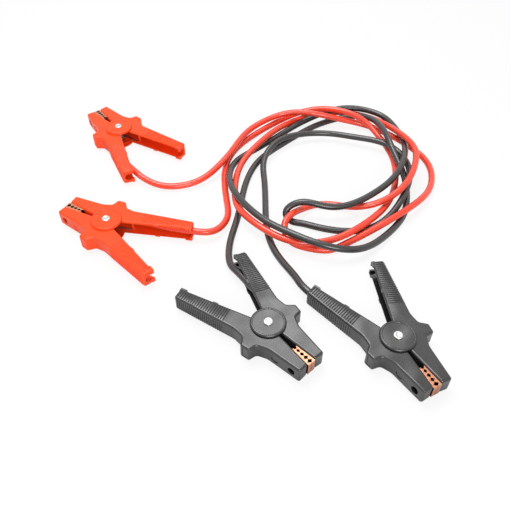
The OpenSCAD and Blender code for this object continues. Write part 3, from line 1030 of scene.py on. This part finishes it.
# The way of each cable from its lug, as x and y in the clamp's own frame: first through the
# jaw, then along the handle. It leaves clamp a between the handles, and clamp b at the end.
INSIDE = ((20.0, 12.0), (13.0, 12.0), (4.0, 16.5), (-8.0, 22.0), (-24.0, 25.0))
WAYS_OUT = {
    "red_a": ((-45.0, 28.0), (-63.0, 30.8), (-78.0, 30.8)),
    "red_b": ((-45.0, 30.0), (-65.0, 34.0), (-84.0, 39.6), (-97.5, 44.6)),
    "black_a": ((-38.0, 25.2), (-52.0, 25.4), (-68.0, 27.2)),
    "black_b": ((-45.0, 30.0), (-65.0, 35.5), (-82.5, 40.8), (-97.5, 43.6)),
}


@dataclass
class Clamp:
    """One spring clamp: two arms, two jaws, their rivets, a spring, a lug and a lead end.

    The cable arm lies on the clamp's +Y side where cable_side is 1, and on the other for -1.
    """

    colour: LeadColour
    letter: str
    cable_side: int
    frame: dict[str, Any]
    moulding: ArmMoulding
    spring: ClampSpring = field(default_factory=ClampSpring)

    @property
    def short(self) -> str:
        """Start of the names of this clamp's joint, mount and turning body."""
        return f"{self.colour.value}_{self.letter}"

    @property
    def name(self) -> str:
        """Start of the names of this clamp's nodes."""
        return f"{self.colour.value}_clamp_{self.letter}"

    @property
    def free_body(self) -> str:
        """The body that turns."""
        return f"{self.short}_free_arm"

    @cached_property
    def place(self) -> ClampPlace:
        """Where this clamp lies: its hinge gives the pivot and its grip mount the heading.

        Returns:
            The place.
        """
        hinge = next(j for j in self.frame["joints"] if j["name"] == f"{self.short}_hinge")
        grip = next(m for m in self.frame["record"]["mounts"] if m["name"] == f"{self.short}_grip")
        x, y, _ = hinge["pos_m"]
        return ClampPlace(x / MM, y / MM, math.degrees(math.atan2(grip["axis"][1], grip["axis"][0])))

    def on_side(self, side: int) -> Matrix:
        """Takes the moulding to one side of the clamp: as it is for 1, turned over for -1."""
        over = shift(0, 0, self.moulding.clamp_height) @ turn(180, "X")
        return self.place.matrix() @ (Matrix.Identity(4) if side > 0 else over)

    def arms(self) -> None:
        """Both arms, each in its own body."""
        for part, body, side in (
            ("cable_arm", ROOT_BODY, self.cable_side),
            ("free_arm", self.free_body, -self.cable_side),
        ):
            mesh = placed(self.moulding.mesh.copy(), self.on_side(side))
            arm = new_object(f"{self.name}_{part}_moulding", mesh)
            even_normals(arm)
            dress(arm, ARM_FINISH[self.colour])
            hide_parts(f"{self.name}_{part}")
            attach(arm, body)
            log.info("%s on %s", arm.name, body)

    def metal(self) -> None:
        """Jaws, rivets and lug: their solids are right as they are and get their finish."""
        for part, finish, soften in (
            ("cable_jaw", COPPER, 0.15),
            ("free_jaw", COPPER, 0.15),
            ("cable_lug", COPPER, 0.2),
            ("pivot_rivet", NICKEL, 0.1),
            ("cable_jaw_rivet", NICKEL, 0.2),
            ("free_jaw_rivet", NICKEL, 0.2),
        ):
            piece = self.frame["nodes"][f"{self.name}_{part}"]
            dress(piece, finish)
            # Corners that coincide become one, so that the bevel finds whole edges.
            weld = piece.modifiers.new("weld", "WELD")
            weld.merge_threshold = 0.001 * MM
            edge = piece.modifiers.new("soft_edges", "BEVEL")
            edge.width, edge.segments, edge.limit_method = soften * MM, 2, "ANGLE"
            edge.angle_limit = math.radians(40)
            log.info("%s keeps its solid", piece.name)

    def coil(self) -> None:
        """The spring round the pivot, made in its place."""
        mesh = placed(self.spring.mesh(), self.place.matrix())
        piece = new_object(f"{self.name}_wire_spring", mesh)
        dress(piece, SPRING_WIRE)
        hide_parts(f"{self.name}_spring")
        # The upper leg lies in the arm on the clamp's +Y side, the lower leg in the other.
        ends = [self.place.point(0, 0, z) * MM for z in (self.spring.low, self.spring.high)]
        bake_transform(piece)
        log.info("%s between %s and %s", piece.name, ROOT_BODY, self.free_body)

    def inner_route(self) -> list[np.ndarray]:
        """Points of the cable from the lug to where it leaves the clamp, in millimetres."""
        way = INSIDE + WAYS_OUT[self.short]
        return [self.place.point(x, self.cable_side * y, self.moulding.middle) for x, y in way]

    def lead_out(self) -> list[np.ndarray]:
        """First two points of the free cable."""
        route = self.inner_route()
        return [route[-1], 2 * route[-1] - route[-2]]

    def lead_end(self) -> None:
        """The stretch of cable inside the handle."""
        route = Route(self.inner_route())
        piece = new_object(f"{self.name}_inner_cable", route.tube(CABLE))
        dress(piece, SHEATH_FINISH[self.colour])
        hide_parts(f"{self.name}_lead_end")
        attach(piece, ROOT_BODY)
        log.info("%s on %s", piece.name, ROOT_BODY)

    def build(self) -> None:
        """Makes and dresses every piece of the clamp."""
        self.arms()
        self.metal()
        self.coil()
        self.lead_end()


# --- The cables ---


class Route:
    """A smooth route: a uniform cubic B-spline that starts and ends on its end points."""

    RINGS_PER_POINT = 6
    SIDES = 20

    def __init__(self, points: Sequence[Sequence[float]]) -> None:
        """Takes the route's points, in millimetres."""
        given = np.array(points, float)
        self.last = len(given) - 1
        self.points = np.vstack([2 * given[0] - given[1], given, 2 * given[-1] - given[-2]])

    def along(self, weights: Callable[[np.ndarray], list[np.ndarray]]) -> np.ndarray:
        """The weighted sum of the four points round each ring of the whole route.

        Args:
            weights: gives the four weights for the share of the way to the next point.

        Returns:
            One sum for each ring.
        """
        t = np.linspace(0, self.last, self.last * self.RINGS_PER_POINT + 1)
        i = np.minimum(np.floor(t).astype(int), self.last - 1)
        return sum(w[:, None] * self.points[i + k] for k, w in enumerate(weights(t - i)))

    def places(self) -> np.ndarray:
        """The middle of each ring, in millimetres."""
        return self.along(lambda f: [
            (1 - f) ** 3 / 6,
            (3 * f**3 - 6 * f**2 + 4) / 6,
            (3 * f + 3 * f**2 - 3 * f**3 + 1) / 6,
            f**3 / 6,
        ])

    def headings(self) -> np.ndarray:
        """The route's direction at each ring, not scaled."""
        return self.along(lambda f: [
            -((1 - f) ** 2) / 2,
            (3 * f**2 - 4 * f) / 2,
            (1 + 2 * f - 3 * f**2) / 2,
            f**2 / 2,
        ])

    def tube(self, diameter: float) -> Mesh:
        """A round cable along the whole route."""
        return swept(self.places(), self.headings(), diameter, self.SIDES)


# Where the middle of each free cable lies, in metres, from clamp a to clamp b. It is LOW where
# the cable lies on the table.
LOW = 0.0045
RED_WAY = (
    (-0.114, 0.083, 0.009), (-0.085, 0.07, 0.005), (-0.04, 0.08, 0.007), (-0.015, 0.11, 0.015),
    (0.0, 0.14, 0.015), (0.015, 0.185, 0.013), (0.04, 0.215, 0.013), (0.08, 0.23, 0.022),
    (0.12, 0.22, 0.025), (0.165, 0.22, 0.012), (0.2, 0.22, LOW), (0.235, 0.19, LOW),
    (0.265, 0.15, LOW), (0.275, 0.115, LOW), (0.265, 0.07, 0.006), (0.24, 0.035, 0.013),
    (0.205, 0.005, 0.015), (0.165, -0.02, 0.009), (0.135, -0.035, LOW), (0.12, -0.045, LOW),
    (0.095, -0.04, LOW), (0.07, -0.03, LOW), (0.065, -0.005, 0.012), (0.075, 0.005, 0.019),
    (0.09, 0.03, 0.005), (0.12, 0.045, LOW), (0.16, 0.025, 0.008), (0.2, 0.03, 0.02),
    (0.23, 0.06, 0.025), (0.25, 0.11, 0.024), (0.25, 0.135, 0.029), (0.235, 0.175, 0.023),
    (0.22, 0.225, 0.008), (0.18, 0.255, LOW), (0.135, 0.255, LOW), (0.095, 0.235, LOW),
    (0.06, 0.195, 0.013), (0.035, 0.155, 0.015), (0.015, 0.125, 0.012), (0.005, 0.095, LOW),
    (0.005, 0.05, 0.008), (0.01, 0.015, 0.017), (0.04, -0.02, 0.017), (0.08, -0.045, 0.014),
    (0.125, -0.035, 0.012), (0.155, -0.02, 0.018), (0.195, 0.025, 0.007), (0.215, 0.065, LOW),
    (0.225, 0.11, LOW), (0.225, 0.15, LOW), (0.21, 0.19, 0.008), (0.19, 0.215, 0.021),
    (0.15, 0.23, 0.027), (0.11, 0.245, 0.016), (0.07, 0.23, 0.007), (0.035, 0.2, LOW),
    (0.005, 0.165, LOW), (-0.01, 0.125, LOW), (-0.01, 0.085, LOW), (-0.005, 0.045, LOW),
    (0.0, 0.015, 0.005), (-0.012, -0.014, 0.01),
)
BLACK_WAY = (
    (0.001, -0.07, 0.009), (0.0, -0.03, LOW), (0.01, 0.01, LOW), (0.015, 0.055, LOW),
    (0.02, 0.09, LOW), (0.035, 0.135, LOW), (0.07, 0.17, LOW), (0.1, 0.2, LOW), (0.13, 0.225, LOW),
    (0.175, 0.245, LOW), (0.205, 0.225, 0.016), (0.215, 0.175, 0.028), (0.22, 0.135, 0.022),
    (0.235, 0.1, 0.005), (0.23, 0.055, LOW), (0.22, 0.015, LOW), (0.19, -0.02, LOW),
    (0.155, -0.055, 0.013), (0.11, -0.055, 0.023), (0.075, -0.035, 0.024), (0.04, -0.01, 0.022),
    (0.01, 0.03, 0.023), (-0.005, 0.075, 0.015), (0.0, 0.13, LOW), (0.03, 0.155, LOW),
    (0.065, 0.19, LOW), (0.095, 0.22, 0.006), (0.13, 0.24, 0.011), (0.17, 0.255, 0.016),
    (0.22, 0.24, 0.013), (0.235, 0.21, 0.013), (0.245, 0.165, 0.013), (0.235, 0.115, 0.026),
    (0.215, 0.07, 0.023), (0.18, 0.04, 0.02), (0.15, 0.02, 0.019), (0.12, 0.015, 0.019),
    (0.09, 0.025, 0.027), (0.065, 0.02, 0.012), (0.075, 0.005, LOW), (0.09, 0.005, LOW),
    (0.11, -0.005, LOW), (0.155, -0.015, LOW), (0.195, 0.005, LOW), (0.22, 0.04, 0.014),
    (0.24, 0.085, 0.016), (0.24, 0.135, 0.01), (0.215, 0.16, 0.017), (0.175, 0.175, 0.013),
    (0.14, 0.19, 0.011), (0.095, 0.185, 0.013), (0.06, 0.165, 0.016), (0.04, 0.125, 0.01),
    (0.045, 0.09, LOW), (0.045, 0.035, LOW), (0.045, -0.01, LOW), (0.055, -0.05, LOW),
    (0.077, -0.086, 0.008),
)
# Each lead with the length of its free cable, in metres.
LEADS = ((LeadColour.RED, RED_WAY, 2.477), (LeadColour.BLACK, BLACK_WAY, 2.404))


@dataclass
class LeadCable:
    """The free cable of one lead, from one clamp to the other."""

    colour: LeadColour
    clamps: tuple[Clamp, Clamp]
    way: tuple[Triple, ...]
    length: float

    def build(self) -> None:
        name = self.colour.value
        first, last = (clamp.lead_out() for clamp in self.clamps)
        middle = [np.array(p) / MM for p in self.way]
        route = Route([*first, *middle, *last[::-1]])
        piece = new_object(f"{name}_lead_cable", route.tube(CABLE))
        dress(piece, SHEATH_FINISH[self.colour])
        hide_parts(f"{name}_lead_tail_a", f"{name}_lead_loops", f"{name}_lead_tail_b")
        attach(piece, ROOT_BODY)
        path = route.places() * MM
        log.info("%s, %.3f m long", piece.name, self.length)


# --- Studio ---


@dataclass
class Studio:
    """A white table in a light tent, and a camera that looks down on it. Millimetres."""

    camera_at: Triple = (31.6, -521.7, 495.1)
    pitch: float = 46.165
    view_angle: float = 47.55
    floor_size: float = 12000.0
    card_tone: float = 0.9
    shown_white: float = 0.86
    fill: float = 0.34

    def camera(self) -> None:
        """The camera, at the height and pitch of someone who stands at the table."""
        data = bpy.data.cameras.new("camera")
        data.sensor_width = 36.0
        data.lens = data.sensor_width / 2 / math.tan(math.radians(self.view_angle) / 2)
        data.clip_start, data.clip_end = 0.01, 100.0
        piece = bpy.data.objects.new("camera", data)
        piece.location = [MM * c for c in self.camera_at]
        piece.rotation_euler = (math.radians(90 - self.pitch), 0, 0)
        bpy.context.scene.collection.objects.link(piece)
        bpy.context.scene.camera = piece

    def floor(self) -> None:
        """The white table. The camera sees it mostly as plain white, with a soft shadow."""
        half = self.floor_size / 2
        corners = [(-half, -half, 0), (half, -half, 0), (half, half, 0), (-half, half, 0)]
        piece = new_object("floor", mesh_of(corners, [(0, 1, 2, 3)]))
        material = bpy.data.materials.new("white_card")
        material.use_nodes = True
        tree = material.node_tree
        tree.nodes.clear()
        tone = self.card_tone
        card = add_node(tree, "ShaderNodeBsdfDiffuse", {"Color": (tone, tone, tone, 1.0)})
        glow = add_node(tree, "ShaderNodeEmission", {"Color": (1.0, 1.0, 1.0, 1.0), "Strength": 1.0})
        path = add_node(tree, "ShaderNodeLightPath")
        times = {"operation": "MULTIPLY", 1: self.shown_white}
        share = add_node(tree, "ShaderNodeMath", times, {0: path.outputs["Is Camera Ray"]})
        links = {0: share.outputs[0], 1: card.outputs[0], 2: glow.outputs[0]}
        mix = add_node(tree, "ShaderNodeMixShader", links=links)
        add_node(tree, "ShaderNodeOutputMaterial", links={"Surface": mix.outputs[0]})
        piece.data.materials.append(material)

    def world(self) -> None:
        """White where the camera, metal or glass sees it, and a soft fill otherwise."""
        world = bpy.data.worlds.new("tent")
        world.use_nodes = True
        tree = world.node_tree
        tree.nodes.clear()
        path = add_node(tree, "ShaderNodeLightPath")
        shown = path.outputs["Is Camera Ray"]
        for ray in ("Is Glossy Ray", "Is Transmission Ray"):
            links = {0: shown, 1: path.outputs[ray]}
            shown = add_node(tree, "ShaderNodeMath", {"operation": "MAXIMUM"}, links).outputs[0]
        ends = {"To Min": self.fill, "To Max": 1.0}
        strength = add_node(tree, "ShaderNodeMapRange", ends, {"Value": shown})
        white = {"Color": (1.0, 1.0, 1.0, 1.0)}
        back = add_node(tree, "ShaderNodeBackground", white, {"Strength": strength.outputs[0]})
        add_node(tree, "ShaderNodeOutputWorld", links={"Surface": back.outputs[0]})
        bpy.context.scene.world = world

    def lamp(self, name: str, at: Triple, size: float, power: float) -> None:
        """A square softbox that faces the middle of the table.

        Args:
            name: the lamp's name.
            at: its place in millimetres.
            size: the side of the square in millimetres.
            power: in watts.
        """
        data = bpy.data.lights.new(name, "AREA")
        data.shape, data.size, data.energy = "SQUARE", size * MM, power
        piece = bpy.data.objects.new(name, data)
        piece.location = [MM * c for c in at]
        piece.rotation_euler = (-piece.location).to_track_quat("-Z", "Y").to_euler()
        bpy.context.scene.collection.objects.link(piece)

    def build(self) -> None:
        """Sets up camera, floor, world and lamps."""
        self.camera()
        self.floor()
        self.world()
        self.lamp("top_softbox", at=(-300, 300, 1500), size=750, power=15)
        self.lamp("front_softbox", at=(300, -1500, 900), size=700, power=13)
        self.lamp("back_softbox", at=(250, 950, 1450), size=520, power=4)
        bpy.context.scene.view_settings.view_transform = "Standard"


def main() -> None:
    """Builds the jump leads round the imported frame."""
    logging.basicConfig(level=logging.INFO, format="%(message)s")
    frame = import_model()
    Studio().build()
    moulding = ArmMoulding()
    for colour, way, length in LEADS:
        clamps = tuple(
            Clamp(colour, letter, side, frame, moulding) for letter, side in (("a", 1), ("b", -1))
        )
        for clamp in clamps:
            clamp.build()
        LeadCable(colour, clamps, way, length).build()


if __name__ == "__main__":
    main()
